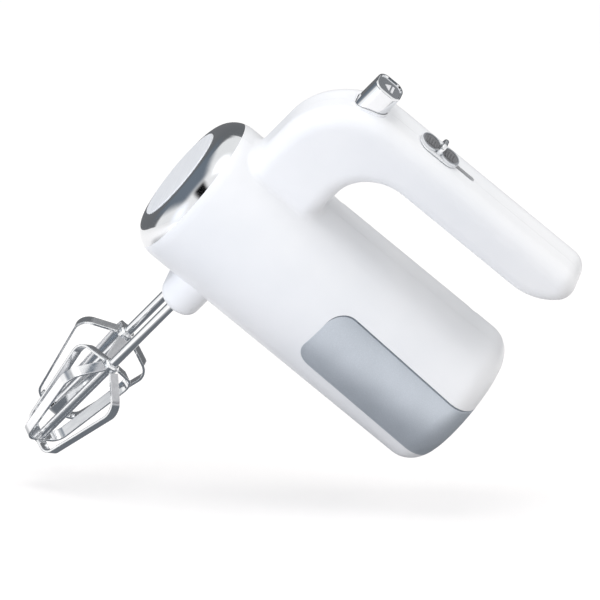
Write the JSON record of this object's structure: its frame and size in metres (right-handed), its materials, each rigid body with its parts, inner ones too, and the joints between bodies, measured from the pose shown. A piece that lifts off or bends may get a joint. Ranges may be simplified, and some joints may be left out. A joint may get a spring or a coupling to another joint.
{
  "type": "hand mixer",
  "caption": "Corded electric hand mixer with a round motor barrel, looped rear-open handle, chromed nose, sliding speed control, eject button and removable loop beaters.",
  "frame": {"origin": "centre of the flat heel that the mixer stands on", "axes": "+Z along the motor barrel from heel to nose, +X towards the handle (beaters point to -X), +Y to the mixer's right side"},
  "size_m": [0.2833, 0.0806, 0.1863],
  "materials": {
    "white_abs": "injection-moulded, satin gloss",
    "chrome_plate": "bright decorative plating on a moulded cap",
    "badge_aluminium": "fine brushed disc",
    "band_lacquer": "pale grey-blue metallic lacquer",
    "pad_rubber": "fine ribs",
    "beater_steel": "bright plated steel strip",
    "screw_steel": "zinc-plated",
    "ground_steel": "ground",
    "lamination": "stamped, oiled",
    "enamelled_copper": "enamelled winding wire",
    "bare_copper": "turned",
    "bronze": "sintered, oil-filled",
    "carbon": "pressed carbon",
    "black_nylon": "moulded",
    "white_nylon": "moulded",
    "grey_rubber": "moulded"
  },
  "bodies": {
    "housing": {"left_housing": "white_abs", "right_housing": "white_abs", "nose_cap": "chrome_plate", "nose_badge": "badge_aluminium", "heel_band": "band_lacquer", "button_rim": "white_abs", "housing_screws": "screw_steel", "cord_inlet_bush": "grey_rubber", "stator_core": "lamination", "field_coils": "enamelled_copper", "rear_bush": "bronze", "front_bush": "bronze", "nose_bush": "bronze", "brush_plate": "black_nylon", "brush_boxes": "bare_copper", "carbon_brushes": "carbon", "gear_bridge": "ground_steel", "left_socket_bush": "bronze", "right_socket_bush": "bronze", "speed_switch": "black_nylon", "switch_contacts": "bare_copper"},
    "armature": {"motor_axle": "ground_steel", "rotor_core": "lamination", "rotor_windings": "enamelled_copper", "commutator": "bare_copper", "cooling_fan": "black_nylon"},
    "ejector": {"eject_button": "chrome_plate", "ejector_yoke": "white_nylon", "eject_spring": "ground_steel"},
    "slider": {"speed_slider": "chrome_plate", "slider_pads": "pad_rubber", "slider_skirt": "white_abs", "slider_carriage": "white_nylon"},
    "left_spindle_set": {"left_spindle": "ground_steel", "left_wheel": "white_nylon"},
    "left_pin": {"left_push_pin": "ground_steel"},
    "left_beater": {"left_beater_shaft": "beater_steel", "left_beater_collar": "beater_steel", "left_outer_loop": "beater_steel", "left_inner_loop": "beater_steel"},
    "right_spindle_set": {"right_spindle": "ground_steel", "right_wheel": "white_nylon"},
    "right_pin": {"right_push_pin": "ground_steel"},
    "right_beater": {"right_beater_shaft": "beater_steel", "right_beater_collar": "beater_steel", "right_outer_loop": "beater_steel", "right_inner_loop": "beater_steel"}
  },
  "joints": [
    {"name": "armature_spin", "type": "hinge", "parent": "housing", "child": "armature", "pos_m": [0, 0, 0.1447], "axis": [0, 0, 1], "continuous": true},
    {"name": "eject_press", "type": "slide", "parent": "housing", "child": "ejector", "axis": [-1, 0, 0], "range_m": [0, 0.006], "stiffness_N_per_m": 1000, "springref_m": -0.004, "deforming": ["eject_spring"]},
    {"name": "speed_slide", "type": "slide", "parent": "housing", "child": "slider", "axis": [0, 0, -1], "range_m": [0, 0.012]},
    {"name": "left_spindle_spin", "type": "hinge", "parent": "housing", "child": "left_spindle_set", "pos_m": [0, -0.016, 0.1447], "axis": [1, 0, 0], "continuous": true},
    {"name": "left_pin_press", "type": "slide", "parent": "left_spindle_set", "child": "left_pin", "axis": [-1, 0, 0], "range_m": [0, 0.006]},
    {"name": "left_beater_pull", "type": "slide", "parent": "left_pin", "child": "left_beater", "axis": [-1, 0, 0], "range_m": [0, 0.045]},
    {"name": "right_spindle_spin", "type": "hinge", "parent": "housing", "child": "right_spindle_set", "pos_m": [0, 0.016, 0.1447], "axis": [1, 0, 0], "continuous": true},
    {"name": "right_pin_press", "type": "slide", "parent": "right_spindle_set", "child": "right_pin", "axis": [-1, 0, 0], "range_m": [0, 0.006]},
    {"name": "right_beater_pull", "type": "slide", "parent": "right_pin", "child": "right_beater", "axis": [-1, 0, 0], "range_m": [0, 0.045]}
  ],
  "couplings": [
    {"joint": "left_spindle_spin", "follows": "armature_spin", "ratio": -0.083333},
    {"joint": "left_pin_press", "follows": "eject_press", "ratio": 1},
    {"joint": "right_spindle_spin", "follows": "armature_spin", "ratio": 0.083333},
    {"joint": "right_pin_press", "follows": "eject_press", "ratio": 1}
  ]
}
